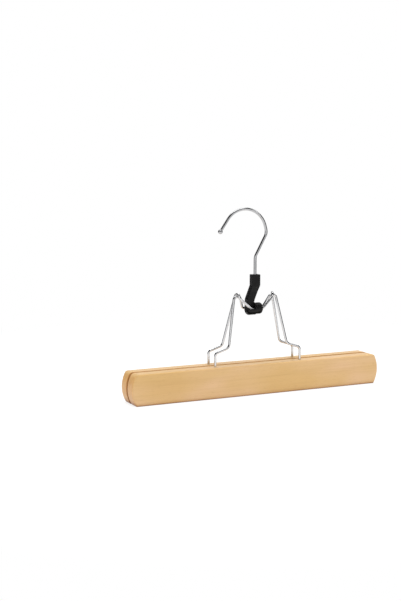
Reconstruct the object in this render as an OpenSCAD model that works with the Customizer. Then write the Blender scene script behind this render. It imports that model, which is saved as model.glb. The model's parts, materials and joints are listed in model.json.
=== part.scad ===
// Clamp hanger for trousers: two felt-lined wooden jaws on crossed wire frames,
// closed by an eccentric lever that also carries the turning hook.
// X runs along the jaws, the front jaw is on the -Y side, Z is up. Units are mm.

/* [Jaws] */
// Length of each wooden jaw
jaw_len = 250; // [220:1:320]
// Height of each wooden jaw
jaw_h = 28; // [27:0.5:32]
// Thickness of each wooden jaw
jaw_t = 12.4; // [11:0.2:15]
// Gap left between the two wooden faces when the hanger is closed
jaw_gap = 1.2; // [0.9:0.1:1.8]
// How far each bowed end stands out past its own corners
end_bow = 4; // [2:0.25:6]
// Rounding of the upper corners of the bowed ends
top_corner_r = 5; // [3:0.5:6]
// Rounding of the lower corners of the bowed ends
low_corner_r = 1.6; // [1:0.2:3]
// Softening of the long edges and of the edges round the ends
edge_r = 1.5; // [0.8:0.1:2.5]

/* [Felt] */
// Length of each felt strip
felt_len = 226; // [160:1:230]
// Height of each felt strip
felt_h = 19; // [12:0.5:20]
// Depth of the recess that the felt lies in
felt_recess = 0.9; // [0.5:0.1:1.5]
// Rounding of the felt's corners
felt_corner_r = 3; // [1:0.5:5]
// Open space left between the two felts when the hanger is closed
felt_space = 0.3; // [0.2:0.05:0.5]

/* [Wire frames] */
// Thickness of the wire that both frames are bent from
wire_d = 2.3; // [2:0.1:2.4]
// Distance of each peg hole from the middle of the jaw
peg_x = 43.2; // [38:0.2:60]
// How deep each peg stands in the wood
peg_depth = 15; // [8:0.5:18]
// Height of the shoulder bend above the top of the jaw
shoulder_rise = 11.8; // [8:0.2:16]
// Height of the knee bend above the top of the jaw
knee_rise = 16.2; // [13:0.2:22]
// Distance of each knee from the middle
knee_x = 29.5; // [27:0.5:35]
// Height of the hinge line above the top of the jaw
hinge_rise = 60.3; // [58:0.5:72]
// Bend radius of the shoulders
shoulder_bend = 3.5; // [2.5:0.1:5]
// Bend radius of the knees
knee_bend = 4.5; // [3:0.1:7]
// Running clearance between a hinge bit and the arch hooked over it
arch_clear = 0.08; // [0.03:0.01:0.1]
// How far the two valleys lie apart when the hanger is closed
valley_space = 9; // [8.6:0.1:9.6]
// Depth of the valleys below the hinge line
valley_drop = 10.9; // [10.2:0.1:12]
// Half length of the short front valley that the lever turns on
front_valley = 5.8; // [5.4:0.1:6.4]
// Distance of the arches' inner corners from the middle
arch_in = 17; // [16.6:0.1:17.4]
// Distance of the arches' outer corners from the middle
arch_out = 18.4; // [18.1:0.1:19]
// Half length of the long rear valley that the foot presses on
rear_valley = 10.5; // [10.2:0.1:12]

/* [Lever] */
// Radius of the round eccentric foot, left lobe
foot_r = 5.55; // [5.3:0.05:5.6]
// Radius of its right lobe
small_foot_r = 5.2; // [4.9:0.05:5.25]
// How far the foot's middle lies behind the wire that it turns on
foot_offset = 2; // [1.8:0.05:2.2]
// Running clearance between the front valley and the foot's bore, all round
pivot_clear = 0.06; // [0.02:0.01:0.1]
// Reach of the foot to the left of the hook's stem
foot_left = 10.2; // [8.5:0.1:10.5]
// Reach of the foot to the right of the hook's stem
foot_right = 5.4; // [4.8:0.1:6]
// Where the left lobe ends and the right lobe begins
lobe_x = -1.4; // [-2:0.1:-1]
// Rounding of the foot's left end
left_round = 2.6; // [1.5:0.1:3]
// Rounding of the foot's right end
right_round = 1.6; // [0.8:0.1:2]
// Where the open notch over the left half of the foot ends
notch_x = -3; // [-4:0.1:-2.4]
// Width of the snap slot that lets the wire into the bore
snap_w = 1.8; // [1.4:0.1:2]
// Width of the socket block
block_w = 8; // [7.4:0.1:10]
// Thickness of the socket block from front to back
block_t = 6.6; // [6.4:0.1:7.4]
// Height of the socket block
block_h = 9.8; // [8.6:0.1:13]
// Height of the lever's top above the hinge line
lever_top = 19.7; // [18.5:0.1:26]
// How far the arm steps to the left on its way down
arm_shift = 5.45; // [4:0.05:5.5]
// Width of the arm at its lower end
arm_w = 7.1; // [6:0.1:7.2]
// Softening of the lever's upright edges
lever_edge = 0.7; // [0.3:0.1:1]

/* [Hook] */
// Thickness of the hook's wire
hook_d = 2.6; // [2.4:0.1:3]
// Running clearance between the stem and its socket, all round
stem_clear = 0.06; // [0.02:0.01:0.1]
// Width of the head formed on the lower end of the stem
head_d = 4.2; // [3.8:0.1:4.4]
// Height of that head
head_h = 1.5; // [1.2:0.1:2]
// Length of bare stem from the lever up to the neck bend
stem_rise = 15.8; // [12:0.2:24]
// Lean of the neck away from upright
neck_lean = 28.9; // [20:0.1:35]
// Radius of the hook's big bend, to the middle of the wire
hook_r = 21.1; // [19:0.1:26]
// How far the middle of the big bend lies to the left of the stem
hook_shift = 10.3; // [9:0.1:14]
// Height of the middle of the big bend above the neck bend
hook_rise = 22; // [19:0.1:30]
// Where the big bend starts, counted up from level on its right
hook_from = 14; // [8:0.5:18]
// Where the big bend ends, counted the same way
hook_to = 145.3; // [138:0.5:152]
// Length of the straight tip past the big bend, to the middle of the ball
tip_len = 12.8; // [8:0.2:16]
// Width of the ball on the tip
ball_d = 4.3; // [3.8:0.1:5.5]

/* [Hidden] */
$fn = 48;

eps = 0.01;
wood = [0.86, 0.70, 0.49];
felt_grey = [0.30, 0.27, 0.25];
steel = [0.78, 0.79, 0.80];
black = [0.09, 0.09, 0.10];

wire_r = wire_d / 2;
hook_wr = hook_d / 2;
peg_y = jaw_gap / 2 + jaw_t / 2;
hinge_z = jaw_h + hinge_rise;
valley_z = hinge_z - valley_drop;
valley_y = valley_space / 2;
strand_drop = 1;                              // where the front strand turns upright into its arch
reach = wire_d + arch_clear;                  // from the hinge bit to the arch, middle to middle

// The bowed end is part of a circle through both corners and the middle.
end_r = (pow(jaw_h / 2, 2) + pow(end_bow, 2)) / (2 * end_bow);
end_x = jaw_len / 2 - end_r;

// Lever levels.
lever_z = hinge_z + lever_top;
block_z = lever_z - block_h;
arm_low_z = valley_z + 6;
neck_z = lever_z + stem_rise;
head_z = block_z + 1.7;
bore_r = wire_r + pivot_clear;

function unit(v) = v / norm(v);
function turn(p, i) = acos(max(-1, min(1, unit(p[i] - p[i - 1]) * unit(p[i + 1] - p[i]))));
function setback(p, r, i) = r[i] * tan(turn(p, i) / 2);

// Half of the front frame, from the middle of its valley out to its peg.
front_path = [
  [0, valley_y, valley_z],
  [rear_valley, valley_y, valley_z],
  [arch_in - 1.8, 0, hinge_z],
  [arch_out + 2.7, 0, hinge_z],
  [knee_x, -peg_y, jaw_h + knee_rise],
  [peg_x, -peg_y, jaw_h + shoulder_rise],
  [peg_x, -peg_y, jaw_h - peg_depth]];
front_bends = [0, 3, 2, 2.3, knee_bend, shoulder_bend, 0];

// Half of the rear frame. Its arch is two square bends over the hinge bit.
rear_path = [
  [0, -valley_y, valley_z],
  [front_valley, -valley_y, valley_z],
  [arch_in - 0.2, -reach, hinge_z - strand_drop],
  [arch_in, -reach, hinge_z + reach],
  [arch_out, reach, hinge_z + reach],
  [knee_x, peg_y, jaw_h + knee_rise],
  [peg_x, peg_y, jaw_h + shoulder_rise],
  [peg_x, peg_y, jaw_h - peg_depth]];
rear_bends = [0, 4, 2, 2.3, 2.3, knee_bend, shoulder_bend, 0];

// One bent wire through the corner points p, each corner rounded to its own radius.
// Straights and bends meet face to face; a collar a few thousandths proud of the wire
// bridges each meeting so that the wire is one solid.
collar_half = 0.06;
collar_proud = 0.004;
function frame(x, y, z, o) = [[x.x, y.x, z.x, o.x], [x.y, y.y, z.y, o.y], [x.z, y.z, z.z, o.z]];
function beside(u) = unit(cross(u, abs(u.z) > 0.9 ? [1, 0, 0] : [0, 0, 1]));
module rod(from, u, len, r) {
  multmatrix(frame(beside(u), cross(u, beside(u)), u, from)) cylinder(h = len, r = r);
}
module wire(p, r, w) {
  last = len(p) - 1;
  for (i = [0:last - 1]) {
    u = unit(p[i + 1] - p[i]);
    from = p[i] + (i == 0 ? 0 : setback(p, r, i)) * u;
    to = p[i + 1] - (i == last - 1 ? 0 : setback(p, r, i + 1)) * u;
    rod(from, u, norm(to - from), w);
    if (i > 0) rod(from - collar_half * u, u, 2 * collar_half, w + collar_proud);
    if (i < last - 1) rod(to - collar_half * u, u, 2 * collar_half, w + collar_proud);
  }
  for (i = [1:last - 1]) {
    u = unit(p[i] - p[i - 1]);
    next = unit(p[i + 1] - p[i]);
    mid = p[i] + r[i] / cos(turn(p, i) / 2) * unit(next - u);
    out = (p[i] - setback(p, r, i) * u - mid) / r[i];
    multmatrix(frame(out, u, cross(out, u), mid))
      rotate_extrude(angle = turn(p, i)) translate([r[i], 0]) circle(r = w);
  }
}
// A whole frame from its right half; the middle of the valley needs no corner.
function flip(v) = [-v.x, v.y, v.z];
function both_halves(p) = concat([for (i = [len(p) - 1:-1:1]) flip(p[i])], [for (i = [1:len(p) - 1]) p[i]]);
function both_bends(r) = concat([for (i = [len(r) - 1:-1:1]) r[i]], [for (i = [1:len(r) - 1]) r[i]]);

module both_sides() {
  children();
  mirror([1, 0, 0]) children();
}

module round_rect(w, h, r) {
  translate([r, 0]) square([w - 2 * r, h]);
  translate([0, r]) square([w, h - 2 * r]);
  for (x = [r, w - r], y = [r, h - r]) translate([x, y]) circle(r = r);
}

// Outer half of a round end: flat faces, softened rim.
module end_profile() {
  square([end_r - edge_r, jaw_t]);
  translate([0, edge_r]) square([end_r, jaw_t - 2 * edge_r]);
  for (y = [edge_r, jaw_t - edge_r]) translate([end_r - edge_r, y]) circle(r = edge_r);
}

// What a corner loses when it is rounded to radius r, at the right end of the jaw.
module corner_waste(r, top) {
  up = top ? 1 : -1;
  cz = top ? jaw_h - r : r;
  cx = end_x + sqrt(pow(end_r - r, 2) - pow(jaw_h / 2 - r, 2));
  out = unit([cx - end_x, cz - jaw_h / 2]);
  far = r + 3;
  translate([cx, cz]) difference() {
    polygon([[0, 0], [0, up * far], up * far * [0, 1] + far * out, far * out]);
    circle(r = r);
  }
}

// A jaw with its outer face on y = 0 and its inner face on y = jaw_t.
module jaw_blank() {
  difference() {
    intersection() {
      rotate([90, 0, 90]) linear_extrude(jaw_len + 10, center = true) round_rect(jaw_t, jaw_h, edge_r);
      union() {
        translate([-end_x, 0, 0]) cube([2 * end_x, jaw_t, jaw_h]);
        both_sides() translate([end_x, 0, jaw_h / 2]) rotate([-90, 0, 0]) rotate_extrude() end_profile();
      }
    }
    both_sides() for (top = [true, false])
      translate([0, jaw_t + 1, 0]) rotate([90, 0, 0]) linear_extrude(jaw_t + 2)
        corner_waste(top ? top_corner_r : low_corner_r, top);
    both_sides() translate([peg_x, jaw_t / 2, jaw_h - peg_depth]) cylinder(h = peg_depth + 1, r = wire_r);
    felt_slab(jaw_t - felt_recess, felt_recess + 1);
  }
}

// The felt's outline, standing on y = from and as thick as asked.
module felt_slab(from, thick) {
  translate([-felt_len / 2, from + thick, (jaw_h - felt_h) / 2]) rotate([90, 0, 0])
    linear_extrude(thick) round_rect(felt_len, felt_h, felt_corner_r);
}

module front_jaw() color(wood) translate([0, -jaw_gap / 2 - jaw_t, 0]) jaw_blank();
module rear_jaw() color(wood) mirror([0, 1, 0]) translate([0, -jaw_gap / 2 - jaw_t, 0]) jaw_blank();

// Felt stands out of its recess and stops short of the other felt.
felt_thick = felt_recess + (jaw_gap - felt_space) / 2;
module front_felt() color(felt_grey) translate([0, -jaw_gap / 2 - jaw_t, 0])
  felt_slab(jaw_t - felt_recess, felt_thick);
module rear_felt() color(felt_grey) mirror([0, 1, 0]) translate([0, -jaw_gap / 2 - jaw_t, 0])
  felt_slab(jaw_t - felt_recess, felt_thick);

module front_wire() color(steel) wire(both_halves(front_path), both_bends(front_bends), wire_r);
module rear_wire() color(steel) wire(both_halves(rear_path), both_bends(rear_bends), wire_r);

// Lever, in two outlines that cut each other: from the front and from the side.
arm_right = arm_w / 2 - arm_shift;
arm_left = -arm_w / 2 - arm_shift;
module lever_front_outline() {
  polygon([
    [-block_w / 2, block_z], [block_w / 2, block_z],
    [arm_right, arm_low_z], [arm_right, valley_z], [arm_left, valley_z], [arm_left, arm_low_z + 2.6]]);
}

arm_back = foot_r + foot_offset - valley_y;
module lever_side_outline() {
  polygon([
    [-block_t / 2, block_z + 1], [-block_t / 2, block_z - 1], [-block_t / 2 + 0.8, block_z - 6],
    [-block_t / 2 + 0.8, valley_z], [arm_back, valley_z], [arm_back, arm_low_z + 2],
    [block_t / 2, block_z - 2], [block_t / 2, block_z + 1]]);
}

// Room for the sloping strands of the rear frame while the lever swings round them:
// all that lies outside a slanted line, turned about the bore. Angles count from
// the rear (+Y) upwards.
module strand_room(from, to) {
  slope = (arch_in - 0.2 - front_valley) / norm([valley_y - reach, valley_drop - strand_drop]);
  half = (wire_r + 0.35) * sqrt(1 + 1 / pow(slope, 2));
  far = 9;
  rotate([0, 90, 0]) {
    rotate([0, 0, from + 90]) rotate_extrude(angle = to - from)
      polygon([[half - 0.2, front_valley], [half, front_valley],
               [far, front_valley + (far - half) * slope], [far, 2 * far], [half - 0.2, 2 * far]]);
    rotate_extrude() polygon([[0, front_valley - 2.8], [half, front_valley], [half, 2 * far], [0, 2 * far]]);
  }
}

// A round lobe from x = 0 to x = len, its far rim rounded.
module lobe(r, len, round) rotate([0, 90, 0]) rotate_extrude() {
  square([r - round, len]);
  square([r, len - round]);
  translate([r - round, len - round]) circle(r = round);
}

module cam_lever() color(black) {
  difference() {
    union() {
      // arm, then socket block
      intersection() {
        translate([0, block_t, 0]) rotate([90, 0, 0]) linear_extrude(2 * block_t) lever_front_outline();
        rotate([90, 0, 90]) linear_extrude(40, center = true) lever_side_outline();
      }
      translate([-block_w / 2, -block_t / 2, block_z - 0.2]) linear_extrude(block_h + 0.2)
        round_rect(block_w, block_t, lever_edge);
      // eccentric foot: two lobes with rounded outer ends
      translate([lobe_x, foot_offset - valley_y, valley_z]) {
        mirror([1, 0, 0]) lobe(foot_r, lobe_x + foot_left, left_round);
        translate([-1, 0, 0.15]) lobe(small_foot_r, foot_right - lobe_x + 1, right_round);
      }
    }
    // bore for the front valley, with its snap slot
    translate([-foot_left - 1, -valley_y, valley_z]) rotate([0, 90, 0])
      cylinder(h = foot_left + foot_right + 2, r = bore_r);
    translate([0, -valley_y, valley_z]) rotate([-28, 0, 0])
      translate([-foot_left - 1, -snap_w / 2, -foot_r - 2]) cube([foot_left + foot_right + 2, snap_w, foot_r + 2]);
    // open notch over the left half of the foot, in front of the arm
    translate([-foot_left - 1, -valley_y - foot_r, valley_z + 0.2])
      cube([foot_left + 1 + notch_x, foot_r + 1.9, 8]);
    // room for the strands
    translate([0, -valley_y, valley_z]) both_sides() strand_room(-52, 115);
    // socket for the stem and its head
    translate([0, 0, head_z - 0.3]) cylinder(h = head_h + 0.6, r = head_d / 2 + 0.3);
    translate([0, 0, head_z]) cylinder(h = lever_z - head_z + 1, r = hook_wr + stem_clear);
  }
}

// Hook, bent in the plane of the jaws.
hook_mid = [-hook_shift, 0, neck_z + hook_rise];
function on_bend(a) = hook_mid + hook_r * [cos(a), 0, sin(a)];
function along_bend(a) = [-sin(a), 0, cos(a)];
bend_mid = (hook_from + hook_to) / 2;
bend_peak = hook_mid + hook_r / cos((hook_to - hook_from) / 2) * [cos(bend_mid), 0, sin(bend_mid)];
tip_end = on_bend(hook_to) + tip_len * along_bend(hook_to);
// where the leaning neck would meet the start of the big bend
lean = [sin(neck_lean), 0, cos(neck_lean)];
start = on_bend(hook_from);
into = along_bend(hook_from);
meet_t = ((start.x - 0) * lean.z - (start.z - neck_z) * lean.x) / (into.x * lean.z - into.z * lean.x);
side_bend = start - meet_t * into;
hook_path = [[0, 0, head_z], [0, 0, neck_z], side_bend, bend_peak, tip_end];
hook_bends = [0, 9, 9, hook_r, 0];

module hook_wire() color(steel) {
  wire(hook_path, hook_bends, hook_wr);
  translate([0, 0, head_z]) cylinder(h = head_h, r = head_d / 2);
}

module hook_ball() color(steel) {
  difference() {
    translate(tip_end) sphere(d = ball_d);
    translate(tip_end) rotate([0, 180 + atan2(along_bend(hook_to).x, along_bend(hook_to).z), 0])
      cylinder(h = ball_d, r = hook_wr);
  }
}

front_jaw();
rear_jaw();
front_felt();
rear_felt();
front_wire();
rear_wire();
cam_lever();
hook_wire();
hook_ball();
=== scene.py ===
"""Looks for the trouser clamp hanger: varnished wood jaws, felt, plated wire and a black moulded lever."""
import json
import math

import bmesh
import bpy
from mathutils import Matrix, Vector, noise


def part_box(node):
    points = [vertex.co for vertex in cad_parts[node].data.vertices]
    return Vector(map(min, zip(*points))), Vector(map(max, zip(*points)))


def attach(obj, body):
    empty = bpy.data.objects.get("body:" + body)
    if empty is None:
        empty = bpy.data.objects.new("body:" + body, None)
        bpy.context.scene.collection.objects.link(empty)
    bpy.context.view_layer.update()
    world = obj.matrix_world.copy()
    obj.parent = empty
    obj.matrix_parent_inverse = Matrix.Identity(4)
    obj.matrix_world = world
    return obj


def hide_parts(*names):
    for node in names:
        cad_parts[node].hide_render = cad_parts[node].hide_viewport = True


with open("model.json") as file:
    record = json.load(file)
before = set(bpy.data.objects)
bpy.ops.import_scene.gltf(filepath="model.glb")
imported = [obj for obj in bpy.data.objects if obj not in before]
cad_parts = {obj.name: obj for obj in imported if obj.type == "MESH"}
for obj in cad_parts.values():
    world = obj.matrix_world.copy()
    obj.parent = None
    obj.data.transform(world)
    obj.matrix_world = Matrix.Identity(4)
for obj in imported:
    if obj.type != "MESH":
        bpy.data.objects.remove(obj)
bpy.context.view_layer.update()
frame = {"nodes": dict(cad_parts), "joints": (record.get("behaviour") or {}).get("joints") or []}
NODES = frame["nodes"]


# Camera, fitted to the photo. The photo's height and the focal length are in its pixels, the sensor is
# in millimetres, the place in metres and the turns in degrees
PHOTO_HEIGHT = 601
FOCAL_LENGTH = 1171.615
SENSOR = 36.0
CAMERA_PLACE = (-0.495494, -0.925944, 0.220955)
CAMERA_YAW = 25.4739
CAMERA_PITCH = 7.4267


def photo_camera():
    """The camera where the photographer's stood; the longer side of its frame is the photo's height."""
    data = bpy.data.cameras.new("camera")
    data.sensor_fit = "AUTO"
    data.sensor_width = SENSOR
    data.lens = FOCAL_LENGTH / PHOTO_HEIGHT * SENSOR
    data.clip_start = 0.05
    data.clip_end = 50
    camera = bpy.data.objects.new("camera", data)
    bpy.context.scene.collection.objects.link(camera)
    camera.location = CAMERA_PLACE
    camera.rotation_euler = (math.pi / 2 - math.radians(CAMERA_PITCH), 0, -math.radians(CAMERA_YAW))
    bpy.context.scene.camera = camera


photo_camera()


# Building blocks of materials
WHITE = (1, 1, 1, 1)


def srgb(red, green, blue):
    """A colour as it shows on a screen, 0 to 255, in the linear values that Blender takes."""
    def linear(level):
        level /= 255
        return level / 12.92 if level <= 0.04045 else ((level + 0.055) / 1.055) ** 2.4
    return (linear(red), linear(green), linear(blue), 1)


def grey(level):
    return (level, level, level, 1)


def new_material(name):
    """A new material, its node tree and its principled shader."""
    material = bpy.data.materials.new(name)
    material.use_nodes = True
    tree = material.node_tree
    tree.nodes.clear()
    out = tree.nodes.new("ShaderNodeOutputMaterial")
    shader = tree.nodes.new("ShaderNodeBsdfPrincipled")
    tree.links.new(shader.outputs["BSDF"], out.inputs["Surface"])
    return material, tree, shader


def add(tree, kind, **settings):
    """A new node with its settings."""
    node = tree.nodes.new(kind)
    for name, value in settings.items():
        setattr(node, name, value)
    return node


def set_inputs(node, values):
    """Gives a node's inputs their values, by name."""
    for name, value in values.items():
        node.inputs[name].default_value = value


def placed(tree, scale=(1, 1, 1), turn=(0, 0, 0), shift=(0, 0, 0)):
    """Object coordinates, scaled for one texture."""
    coordinates = add(tree, "ShaderNodeTexCoord")
    mapping = add(tree, "ShaderNodeMapping")
    set_inputs(mapping, {"Scale": scale, "Rotation": turn, "Location": shift})
    tree.links.new(coordinates.outputs["Object"], mapping.inputs["Vector"])
    return mapping.outputs["Vector"]


def noise_at(tree, vector, scale, detail=2.0, rough=0.5, distortion=0.0):
    """Cloudy noise, from 0 to 1."""
    texture = add(tree, "ShaderNodeTexNoise")
    set_inputs(texture, {"Scale": scale, "Detail": detail, "Roughness": rough, "Distortion": distortion})
    tree.links.new(vector, texture.inputs["Vector"])
    return texture.outputs["Fac"]


def ramp(tree, value, stops):
    """Colour for a value, from (value, colour) stops."""
    node = add(tree, "ShaderNodeValToRGB")
    elements = node.color_ramp.elements
    while len(elements) < len(stops):
        elements.new(0.5)
    for element, (position, colour) in zip(elements, stops):
        element.position = position
        element.color = colour if len(colour) == 4 else (*colour, 1)
    tree.links.new(value, node.inputs["Fac"])
    return node.outputs["Color"]


def clouding(tree, value, low, high):
    """Goes from one colour to another over the middle of a noise."""
    return ramp(tree, value, [(0.3, low), (0.7, high)])


def feed(tree, socket, value):
    """Gives an input a fixed value or the output of another node."""
    if isinstance(value, (int, float, tuple)):
        socket.default_value = value
    else:
        tree.links.new(value, socket)


def mix(tree, share, first, second, blend="MIX"):
    """Two colours mixed."""
    node = add(tree, "ShaderNodeMix", data_type="RGBA", blend_type=blend)
    for number, value in ((0, share), (6, first), (7, second)):
        feed(tree, node.inputs[number], value)
    return node.outputs[2]


def math_node(tree, operation, *values):
    """One calculation on one or two values."""
    node = add(tree, "ShaderNodeMath", operation=operation)
    for socket, value in zip(node.inputs, values):
        feed(tree, socket, value)
    return node.outputs[0]


def axis_of(tree, vector, number):
    """One component of a vector, without its sign."""
    parts = add(tree, "ShaderNodeSeparateXYZ")
    tree.links.new(vector, parts.inputs[0])
    return math_node(tree, "ABSOLUTE", parts.outputs[number])


def bump(tree, shader, height, strength, distance):
    """Fine relief; the distance is in metres."""
    node = add(tree, "ShaderNodeBump")
    set_inputs(node, {"Strength": strength, "Distance": distance})
    tree.links.new(height, node.inputs["Height"])
    tree.links.new(node.outputs["Normal"], shader.inputs["Normal"])


# Wood. Each scale is along the bar, through it and up it, and a bigger number is finer
BLOTCHES = (11, 26, 30)
FIGURE = (8, 90, 150)
STREAKS = (16, 420, 640)
FIBRES = (60, 1500, 2100)
PORES = (190, 2300, 2600)
SAW_SPECKS = (300, 2600, 2600)
GROWTH_ARCS = (6, 130, 130)
ARCS_ASIDE = 7                               # these two put the middle of the arcs outside the bar
ARCS_DOWN = -9
GRAIN_TURN = 0.012                           # radians, after the scaling: slants the marks a little
YELLOW_WOOD = srgb(222, 181, 118)
PALE_WOOD = srgb(226, 186, 130)
PINK_WOOD = srgb(232, 192, 147)
ARC_START = srgb(229, 167, 94)
ARC_MIDDLE = srgb(240, 186, 114)
ARC_END = srgb(214, 150, 84)
SEAM_REACH = 0.007                           # metres within which any surface, the floor too, paints shade on the wood
EDGE_SCALE = 100.0                           # brings distances into a ramp's range: 1 stands for 10 mm


def grain_noise(tree, scale, detail, rough=0.5, turn=0.0, shift=(0, 0, 0)):
    """Noise stretched along the bar."""
    return noise_at(tree, placed(tree, scale, (0, turn, 0), shift), 1, detail, rough)


def long_grain(tree, seed):
    """Colour of the wood along the bar, the noise of its streaks and the height of its surface."""
    blotch = grain_noise(tree, BLOTCHES, 2, shift=(seed, seed * 2, seed * 3))
    figure = grain_noise(tree, FIGURE, 3, 0.5, GRAIN_TURN, (seed * 2, seed, seed))
    streak = grain_noise(tree, STREAKS, 4, 0.6, GRAIN_TURN, (seed * 3, seed, seed))
    fibre = grain_noise(tree, FIBRES, 3, 0.6, GRAIN_TURN, (seed, seed, seed * 2))
    pores = grain_noise(tree, PORES, 1, shift=(seed, 0, seed))
    colour = ramp(tree, blotch, [(0.36, YELLOW_WOOD), (0.5, PALE_WOOD), (0.64, PINK_WOOD)])
    bands = ramp(tree, figure, [(0.30, (0.93, 0.90, 0.86)), (0.55, WHITE), (0.75, (1.0, 1.0, 0.98))])
    colour = mix(tree, 0.7, colour, bands, "MULTIPLY")
    lines = ramp(tree, streak, [(0.32, (0.90, 0.86, 0.80)), (0.52, WHITE)])
    colour = mix(tree, 0.45, colour, lines, "MULTIPLY")
    dots = ramp(tree, pores, [(0.28, (0.74, 0.64, 0.52)), (0.38, WHITE)])
    colour = mix(tree, 0.35, colour, dots, "MULTIPLY")
    height = math_node(tree, "ADD", math_node(tree, "MULTIPLY", fibre, 0.5),
                       math_node(tree, "MULTIPLY", pores, 0.5))
    return colour, streak, height


def end_grain(tree, seed):
    """Colour of the sawn ends, growth arcs with fine dark dots, and how much of it each spot takes."""
    rings = add(tree, "ShaderNodeTexWave", wave_type="RINGS", rings_direction="X", wave_profile="SAW")
    set_inputs(rings, {"Scale": 1, "Distortion": 2.2, "Detail": 3, "Detail Scale": 2.0})
    middle = (0, ARCS_ASIDE + seed, ARCS_DOWN)
    tree.links.new(placed(tree, GROWTH_ARCS, shift=middle), rings.inputs["Vector"])
    colour = ramp(tree, rings.outputs["Fac"], [(0.0, ARC_START), (0.75, ARC_MIDDLE), (1.0, ARC_END)])
    specks = ramp(tree, grain_noise(tree, SAW_SPECKS, 2, 0.7), [(0.34, (0.70, 0.60, 0.50)), (0.5, WHITE)])
    colour = mix(tree, 0.6, colour, specks, "MULTIPLY")
    geometry = add(tree, "ShaderNodeNewGeometry")
    facing = math_node(tree, "POWER", axis_of(tree, geometry.outputs["True Normal"], 0), 4.0)
    return colour, math_node(tree, "MULTIPLY", facing, 0.75)


def seam_shade(tree, colour):
    """Two kinds of painted shade: near any other surface, the floor too, and on the eased inner edges of
    the seam.
    """
    near = add(tree, "ShaderNodeAmbientOcclusion", samples=12, only_local=False)
    set_inputs(near, {"Distance": SEAM_REACH})
    shade = ramp(tree, near.outputs["AO"], [(0.10, (0.34, 0.21, 0.11)), (0.42, (0.66, 0.49, 0.33)),
                                            (0.78, WHITE)])
    colour = mix(tree, 1.0, colour, shade, "MULTIPLY")
    # painted shade by distance from the middle plane, because under these lamps the narrow gap alone reads
    # too faint
    coordinates = add(tree, "ShaderNodeTexCoord")
    depth = math_node(tree, "MULTIPLY", axis_of(tree, coordinates.outputs["Object"], 1), EDGE_SCALE)
    edge = ramp(tree, depth, [(0.06, (0.90, 0.82, 0.70)), (0.085, (0.52, 0.34, 0.17)),
                              (0.16, (0.74, 0.55, 0.33)), (0.24, WHITE)])
    return mix(tree, 1.0, colour, edge, "MULTIPLY")


def wood(name, seed):
    """Pale varnished wood: calm straight grain, soft blotches, short pores, warmer end grain, and painted
    shade near other surfaces and at the seam.
    """
    material, tree, shader = new_material(name)
    colour, streak, height = long_grain(tree, seed)
    end, share = end_grain(tree, seed)
    colour = seam_shade(tree, mix(tree, share, colour, end))
    tree.links.new(colour, shader.inputs["Base Color"])
    tree.links.new(clouding(tree, streak, grey(0.50), grey(0.40)), shader.inputs["Roughness"])
    set_inputs(shader, {"Coat Weight": 0.16, "Coat Roughness": 0.25})
    bump(tree, shader, height, 0.22, 0.00006)
    return material


# Metal, plastic and felt
STEEL_BLUE = 0.01                            # how much bluer than grey the plating is


def plated(name, low, high):
    """Bright plated steel wire: faint clouding in the plating between two greys, and a fine grit."""
    material, tree, shader = new_material(name)
    cloud = noise_at(tree, placed(tree), 240, 3)
    colour = clouding(tree, cloud, (low, low, low + STEEL_BLUE), (high, high, high + STEEL_BLUE))
    tree.links.new(colour, shader.inputs["Base Color"])
    tree.links.new(clouding(tree, cloud, grey(0.20), grey(0.13)), shader.inputs["Roughness"])
    set_inputs(shader, {"Metallic": 1})
    bump(tree, shader, noise_at(tree, placed(tree), 1400), 0.025, 0.00002)
    return material


def plastic(name):
    """Black moulded plastic: fine eroded texture from the mould and faint clouding."""
    material, tree, shader = new_material(name)
    cloud = noise_at(tree, placed(tree), 260, 3)
    colour = clouding(tree, cloud, (0.0032, 0.0030, 0.0030), (0.0056, 0.0052, 0.0052))
    tree.links.new(colour, shader.inputs["Base Color"])
    tree.links.new(clouding(tree, cloud, grey(0.42), grey(0.32)), shader.inputs["Roughness"])
    set_inputs(shader, {"Specular IOR Level": 0.22})
    grain = add(tree, "ShaderNodeTexVoronoi")
    set_inputs(grain, {"Scale": 2600})
    tree.links.new(placed(tree), grain.inputs["Vector"])
    bump(tree, shader, grain.outputs["Distance"], 0.22, 0.00004)
    return material


def felt(name):
    """Pressed wool felt: matted short fibres, flecked dark brown grey."""
    material, tree, shader = new_material(name)
    fibre = noise_at(tree, placed(tree), 1500, 8, 0.75, 2.5)
    flecks = ramp(tree, fibre, [(0.32, (0.028, 0.024, 0.021)), (0.52, (0.062, 0.053, 0.047)),
                                (0.72, (0.13, 0.115, 0.10))])
    shades = clouding(tree, noise_at(tree, placed(tree), 160), grey(0.8), WHITE)
    tree.links.new(mix(tree, 0.8, flecks, shades, "MULTIPLY"), shader.inputs["Base Color"])
    set_inputs(shader, {"Roughness": 0.95, "Sheen Weight": 0.35, "Sheen Roughness": 0.5})
    bump(tree, shader, fibre, 0.8, 0.0003)
    return material


# Materials of the CAD nodes; the frames' wire is the hook's plating given lighter greys, which is painted
# light
hook_steel = plated("plated_hook", 0.45, 0.53)
lightened_frame_steel = plated("plated_frame", 0.62, 0.70)
black = plastic("black_plastic")
wool = felt("wool_felt")
MATERIALS = {
    "front_jaw": wood("wood_front", 1.7),
    "rear_jaw": wood("wood_rear", 4.9),
    "front_wire": lightened_frame_steel,
    "rear_wire": lightened_frame_steel,
    "hook_wire": hook_steel,
    "hook_ball": hook_steel,
    "cam_lever": black,
    "front_felt": wool,
    "rear_felt": wool,
}
for node_name, node_material in MATERIALS.items():
    cad_node = NODES[node_name]
    if not cad_node.material_slots:
        cad_node.data.materials.append(node_material)
    for slot in cad_node.material_slots:
        slot.material = node_material


# Pieces that stand for CAD nodes
def dress(mesh, material):
    """Gives a mesh its one material and smooth shading."""
    mesh.materials.clear()
    mesh.materials.append(material)
    mesh.shade_smooth()


def new_piece(name, mesh, material):
    piece = bpy.data.objects.new(name, mesh)
    bpy.context.scene.collection.objects.link(piece)
    dress(mesh, material)
    return piece


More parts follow.
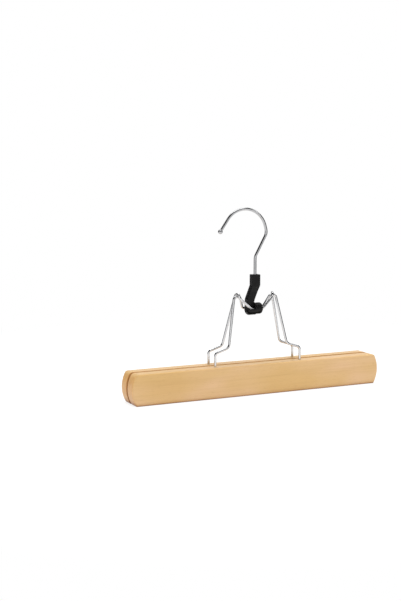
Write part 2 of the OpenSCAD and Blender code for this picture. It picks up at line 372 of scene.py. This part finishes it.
# Felt strips, in metres
FELT_MARGIN = 0.00002                        # how far a strip stays inside the box of its node
FELT_CORNER = 0.003
STEPS_LONG = 340
STEPS_HIGH = 34
RIM_WIDTH = 0.0006                           # the face softens over this distance from its rim
RIM_DROP = 0.00035
FACE_DROP = 0.00008                          # mean depth of the matted face
MOST_DROP = 0.0006                           # no point of the face lies deeper
MATTED = 0.00005                             # depth of the fine matting, 900 to a metre
WAVY = 0.00004                               # depth of the slow waves, 120 to a metre
FRAYED = 0.00006                             # how far the long rims are drawn in, and wander about that


def face_drop(spot, to_rim):
    """Depth of the gripping face at a spot, for its distance from the rim."""
    rim = RIM_DROP * max(0.0, 1 - to_rim / RIM_WIDTH) ** 2
    matting = noise.fractal(spot * 900, 0.8, 2.2, 4) * MATTED + noise.noise(spot * 120) * WAVY
    return min(MOST_DROP, max(0.0, rim + FACE_DROP + matting))


def felt_face(low, high, face_y, away):
    """Points of the gripping face, in columns from end to end, with rounded corners."""
    half_long, half_high, middle = (high.x - low.x) / 2, (high.z - low.z) / 2, (high.z + low.z) / 2
    columns = []
    for i in range(STEPS_LONG + 1):
        x = (2 * i / STEPS_LONG - 1) * (half_long - FELT_MARGIN)
        over = max(0.0, abs(x) - (half_long - FELT_CORNER))
        rounding = math.sqrt(max(0.0, FELT_CORNER * FELT_CORNER - over * over))
        reach = half_high - FELT_MARGIN - FELT_CORNER + rounding
        column = []
        for j in range(STEPS_HIGH + 1):
            up = 2 * j / STEPS_HIGH - 1
            spot = Vector((x, 0, middle + up * reach))
            to_rim = min(half_long - abs(spot.x), half_high - abs(spot.z - middle))
            y = face_y - away * face_drop(spot, to_rim)
            if j in (0, STEPS_HIGH):
                fray = FRAYED * noise.noise(spot * 700 + Vector((5, 9, 1)))
                spot.z += fray - math.copysign(FRAYED, up)
            column.append((spot.x, y, spot.z))
        columns.append(column)
    return columns


def closed_mesh(name, columns, rear_y):
    """A mesh of a face, given as columns of points, its rim and a flat rear."""
    bm = bmesh.new()
    face = [[bm.verts.new(point) for point in column] for column in columns]
    end, top = len(columns) - 1, len(columns[0]) - 1
    ring = ([(i, 0) for i in range(end)] + [(end, j) for j in range(top)]
            + [(i, top) for i in range(end, 0, -1)] + [(0, j) for j in range(top, 0, -1)])
    rear = {(i, j): bm.verts.new((columns[i][j][0], rear_y, columns[i][j][2])) for i, j in ring}
    for i in range(end):
        for j in range(top):
            bm.faces.new((face[i][j], face[i + 1][j], face[i + 1][j + 1], face[i][j + 1]))
    for here, after in zip(ring, ring[1:] + ring[:1]):
        bm.faces.new((face[here[0]][here[1]], rear[here], rear[after], face[after[0]][after[1]]))
    bm.faces.new([rear[place] for place in ring])
    bmesh.ops.recalc_face_normals(bm, faces=bm.faces)
    bmesh.ops.triangulate(bm, faces=[f for f in bm.faces if len(f.verts) > 4])
    mesh = bpy.data.meshes.new(name)
    bm.to_mesh(mesh)
    bm.free()
    return mesh


def felt_strip(name, node, body):
    """A strip of pressed felt in its recess: matted face, softened and slightly uneven rim."""
    low, high = (Vector(corner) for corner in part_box(node))
    away = 1 if high.y < 0 else -1           # the way the gripping face looks
    back = low.y if away > 0 else high.y
    face_y = back + away * (high.y - low.y - FELT_MARGIN)
    columns = felt_face(low, high, face_y, away)
    o = new_piece(name, closed_mesh(name, columns, back + away * FELT_MARGIN), wool)
    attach(o, body)
    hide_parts(node)


felt_strip("front_felt_strip", "front_felt", "front")
felt_strip("rear_felt_strip", "rear_felt", "rear")


# Lever, in millimetres, with the sizes that it has in the CAD model
MM = 1000
lever_turn = next(joint for joint in frame["joints"] if joint["name"] == "lever_turn")
PIVOT_Y, PIVOT_Z = (MM * place for place in lever_turn["pos_m"][1:])
LEVER_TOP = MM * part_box("cam_lever")[1][2]
BORE_R = 1.21
BORE_FROM = 0.8                              # the bore's points lie from here to BORE_TO off the pivot
BORE_TO = BORE_R + 0.1
STEM_ROOM = 1.9                              # round_edges moves nothing this near the stem's axis
BLOCK_HEIGHT = 9.8
BLOCK_SIDE = 4.0                             # half of the socket block's width
BLOCK_DEPTH = 3.3                            # half of its depth
BLOCK_LOW = LEVER_TOP - BLOCK_HEIGHT
ARM_LOW = PIVOT_Z + 6                        # where the arm starts to lean
ARM_LEFT = -9.0
ARM_RIGHT = -1.9
ARM_FRONT = -2.5
ARM_BACK = 3.05
# left, right, front and back of the arm, as (height, place) points, up to where the block takes over
ARM = {
    "left": [(ARM_LOW + 2.6, ARM_LEFT), (BLOCK_LOW, -BLOCK_SIDE)],
    "right": [(ARM_LOW, ARM_RIGHT), (BLOCK_LOW, BLOCK_SIDE)],
    "front": [(BLOCK_LOW - 6, ARM_FRONT), (BLOCK_LOW - 1, -BLOCK_DEPTH)],
    "back": [(ARM_LOW + 2, ARM_BACK), (BLOCK_LOW - 2, BLOCK_DEPTH)],
}
# radius of the upright edges, as (height, radius) points: arm first, then block
EDGES_LOW = ARM_LOW + 0.2
ARM_EDGE = 0.85
BLOCK_EDGE = 0.7
EDGES = [(EDGES_LOW, 0.0), (ARM_LOW + 2, ARM_EDGE), (BLOCK_LOW - 1.2, ARM_EDGE),
         (BLOCK_LOW + 1.3, BLOCK_EDGE)]
# the small lobe at the right of the foot: its axis, radius, end and the rounding of its rim
FOOT_OFFSET = 2.0                            # how far the foot's middle lies behind the pivot
LOBE_Y = PIVOT_Y + FOOT_OFFSET
LOBE_Z = PIVOT_Z + 0.15
LOBE_R = 5.2
LOBE_END = 5.4
LOBE_ROUND = 2.7
LOBE_SKIN = 0.3                              # points up to this far outside the lobe belong to it
VOXEL = 0.00022                              # metres
SMOOTH_PASSES = 5


def moulded(name, node, material):
    """A copy of a moulded node with the soft edges of a real moulding."""
    piece = new_piece(name, NODES[node].data.copy(), material)
    skin = piece.modifiers.new("even_skin", "REMESH")
    skin.mode = "VOXEL"
    skin.voxel_size = VOXEL
    skin.adaptivity = 0.0
    soft = piece.modifiers.new("soft_edges", "SMOOTH")
    soft.factor = 0.5
    soft.iterations = SMOOTH_PASSES
    shaped = piece.evaluated_get(bpy.context.evaluated_depsgraph_get())
    mesh = bpy.data.meshes.new_from_object(shaped)
    piece.modifiers.clear()
    piece.data = mesh
    dress(mesh, material)
    return piece


def along(points, z):
    """Value at height z of a line through (height, value) points."""
    if z <= points[0][0]:
        return points[0][1]
    for (z0, a), (z1, b) in zip(points, points[1:]):
        if z <= z1:
            return a + (b - a) * (z - z0) / (z1 - z0)
    return points[-1][1]


def round_edges(mesh):
    """Rounds the upright edges of the arm and of the block above it."""
    for v in mesh.vertices:
        x, y, z = v.co * MM
        if z <= EDGES_LOW or math.hypot(x, y) < STEM_ROOM:
            continue
        radius = along(EDGES, z)
        left, right, front, back = (along(ARM[side], z) for side in ("left", "right", "front", "back"))
        core_x = min(max(x, left + radius), right - radius)
        core_y = min(max(y, front + radius), back - radius)
        far = math.hypot(x - core_x, y - core_y)
        if far > radius:
            v.co.x = (core_x + (x - core_x) / far * radius) / MM
            v.co.y = (core_y + (y - core_y) / far * radius) / MM


def round_lobe(mesh):
    """Rounds the free end of the foot."""
    core_x, core = LOBE_END - LOBE_ROUND, LOBE_R - LOBE_ROUND
    for v in mesh.vertices:
        x, y, z = v.co * MM
        out = math.hypot(y - LOBE_Y, z - LOBE_Z)
        far = math.hypot(x - core_x, out - core)
        if x > core_x and core < out < LOBE_R + LOBE_SKIN and far > LOBE_ROUND:
            ratio = (core + (out - core) / far * LOBE_ROUND) / out
            v.co = Vector((core_x + (x - core_x) / far * LOBE_ROUND, LOBE_Y + (y - LOBE_Y) * ratio,
                           LOBE_Z + (z - LOBE_Z) * ratio)) / MM


def true_bore(mesh):
    """Gives the bore its size back, so that the wire still turns in it."""
    for v in mesh.vertices:
        dy, dz = v.co.y * MM - PIVOT_Y, v.co.z * MM - PIVOT_Z
        out = math.hypot(dy, dz)
        if BORE_FROM < out < BORE_TO:
            v.co.y = (PIVOT_Y + dy / out * BORE_R) / MM
            v.co.z = (PIVOT_Z + dz / out * BORE_R) / MM


lever = moulded("lever_moulding", "cam_lever", black)
round_edges(lever.data)
round_lobe(lever.data)
true_bore(lever.data)
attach(lever, "lever")
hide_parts("cam_lever")


# Stage: white floor and world. Lengths are in metres
FLOOR_SIZE = 8
FLOOR_GREY = 0.82                            # what the floor throws back onto the object
FLOOR_GLOW = 0.78                            # share of the floor's white that no shadow darkens
SHADOW_GREY = 0.3                            # the rest of it, which a shadow darkens
FADE_SCALE = 2.2                             # the floor is plain white from 1 / 2.2 m outwards
WORLD_LIGHT = 0.5


def output_of(tree):
    return [n for n in tree.nodes if n.type in ("OUTPUT_MATERIAL", "OUTPUT_WORLD")][0]


def mix_shaders(tree, share, first, second):
    node = add(tree, "ShaderNodeMixShader")
    for socket, source in zip(node.inputs, (share, first, second)):
        tree.links.new(source, socket)
    return node.outputs[0]


def light_path_mix(tree, lit, seen):
    """What the camera, mirrors and glass see is `seen`; everything else is lit by `lit`."""
    path = add(tree, "ShaderNodeLightPath")
    direct = math_node(tree, "MAXIMUM", path.outputs["Is Camera Ray"], path.outputs["Is Glossy Ray"])
    share = math_node(tree, "MAXIMUM", direct, path.outputs["Is Transmission Ray"])
    tree.links.new(mix_shaders(tree, share, lit, seen), output_of(tree).inputs["Surface"])


def stage_piece(name, points, faces, material):
    """A piece of the studio, which isn't part of the object."""
    mesh = bpy.data.meshes.new(name)
    mesh.from_pydata(points, [], faces)
    mesh.materials.append(material)
    o = bpy.data.objects.new(name, mesh)
    bpy.context.scene.collection.objects.link(o)
    return o


def square(side, z):
    """Points and face of a level square over the object."""
    half = side / 2
    return [(-half, -half, z), (half, -half, z), (half, half, z), (-half, half, z)], [(0, 1, 2, 3)]


def emission(tree, strength):
    node = add(tree, "ShaderNodeEmission")
    set_inputs(node, {"Strength": strength})
    return node.outputs[0]


def white_floor():
    """A floor that keeps the object's soft shadow, and turns into plain white well away from it."""
    material, tree, shader = new_material("floor")
    set_inputs(shader, {"Base Color": grey(FLOOR_GREY), "Roughness": 0.9, "Specular IOR Level": 0})
    catch = add(tree, "ShaderNodeBsdfDiffuse")
    set_inputs(catch, {"Color": grey(SHADOW_GREY)})
    shaded = add(tree, "ShaderNodeAddShader")
    tree.links.new(emission(tree, FLOOR_GLOW), shaded.inputs[0])
    tree.links.new(catch.outputs[0], shaded.inputs[1])
    ball = add(tree, "ShaderNodeTexGradient", gradient_type="SPHERICAL")
    tree.links.new(placed(tree, (FADE_SCALE, FADE_SCALE, FADE_SCALE)), ball.inputs["Vector"])
    fade = ramp(tree, ball.outputs["Fac"], [(0.0, grey(0)), (0.45, WHITE)])
    light_path_mix(tree, shader.outputs[0], mix_shaders(tree, fade, emission(tree, 1.0), shaded.outputs[0]))
    stage_piece("floor", *square(FLOOR_SIZE, 0), material)


def white_world():
    """Soft light from all round, seen as plain white."""
    world = bpy.data.worlds.new("world")
    bpy.context.scene.world = world
    world.use_nodes = True
    tree = world.node_tree
    soft = tree.nodes["Background"]
    set_inputs(soft, {"Color": WHITE, "Strength": WORLD_LIGHT})
    plain = add(tree, "ShaderNodeBackground")
    set_inputs(plain, {"Color": WHITE, "Strength": 1.0})
    light_path_mix(tree, soft.outputs[0], plain.outputs[0])


white_floor()
white_world()


# Black cards of the studio: the camera doesn't see them, only bright metal and gloss do
CARD_PARTS = 12
# radius in metres, start and end in degrees counted from the front to the right, lower and upper edge
CURVED_CARDS = {
    "card_front": (2.6, -110, 70, 1.05, 2.8),
    "card_back": (2.6, 110, 250, 1.2, 3.2),
    "card_left": (0.6, -164, -95, 0.001, 0.42),
    "card_right": (0.6, 35, 125, 0.001, 0.42),
}
TOP_CARD_SIZE = 5.2
TOP_CARD_HEIGHT = 3.3


def card_black():
    material, tree, shader = new_material("black_card")
    set_inputs(shader, {"Base Color": grey(0.006), "Roughness": 1.0, "Specular IOR Level": 0})
    return material


def card(name, points, faces, material):
    o = stage_piece(name, points, faces, material)
    o.visible_camera = False
    o.visible_diffuse = False
    o.visible_transmission = False
    o.visible_shadow = False
    o.visible_volume_scatter = False


def bent(radius, start, end, low, high):
    """Points and faces of a card bent round the object."""
    points = []
    for i in range(CARD_PARTS + 1):
        angle = math.radians(start + (end - start) * i / CARD_PARTS)
        points += [(radius * math.sin(angle), -radius * math.cos(angle), z) for z in (low, high)]
    return points, [(2 * i, 2 * i + 2, 2 * i + 3, 2 * i + 1) for i in range(CARD_PARTS)]


matt_black = card_black()
for card_name, card_sizes in CURVED_CARDS.items():
    card(card_name, *bent(*card_sizes), matt_black)
card("card_above", *square(TOP_CARD_SIZE, TOP_CARD_HEIGHT), matt_black)


def lamp(name, place, target, size, watts, in_gloss=True):
    """A soft box that looks at a target."""
    light = bpy.data.lights.new(name, "AREA")
    light.shape = "RECTANGLE"
    light.size, light.size_y = size
    light.energy = watts
    o = bpy.data.objects.new(name, light)
    bpy.context.scene.collection.objects.link(o)
    o.location = place
    o.rotation_euler = (Vector(target) - Vector(place)).to_track_quat("-Z", "Y").to_euler()
    o.visible_glossy = in_gloss


# Polished wire would show the key lamp as a hard white line, so gloss doesn't see it
lamp("key", (-0.62, -1.1, 1.45), (0, 0, 0.08), (1.5, 1.0), 12.0, in_gloss=False)
lamp("top", (0.1, 0.25, 1.5), (0, 0, 0.05), (1.3, 1.0), 13)
lamp("side", (1.2, -0.5, 0.6), (0, 0, 0.08), (0.4, 0.9), 3)
bpy.context.scene.view_settings.view_transform = "Standard"
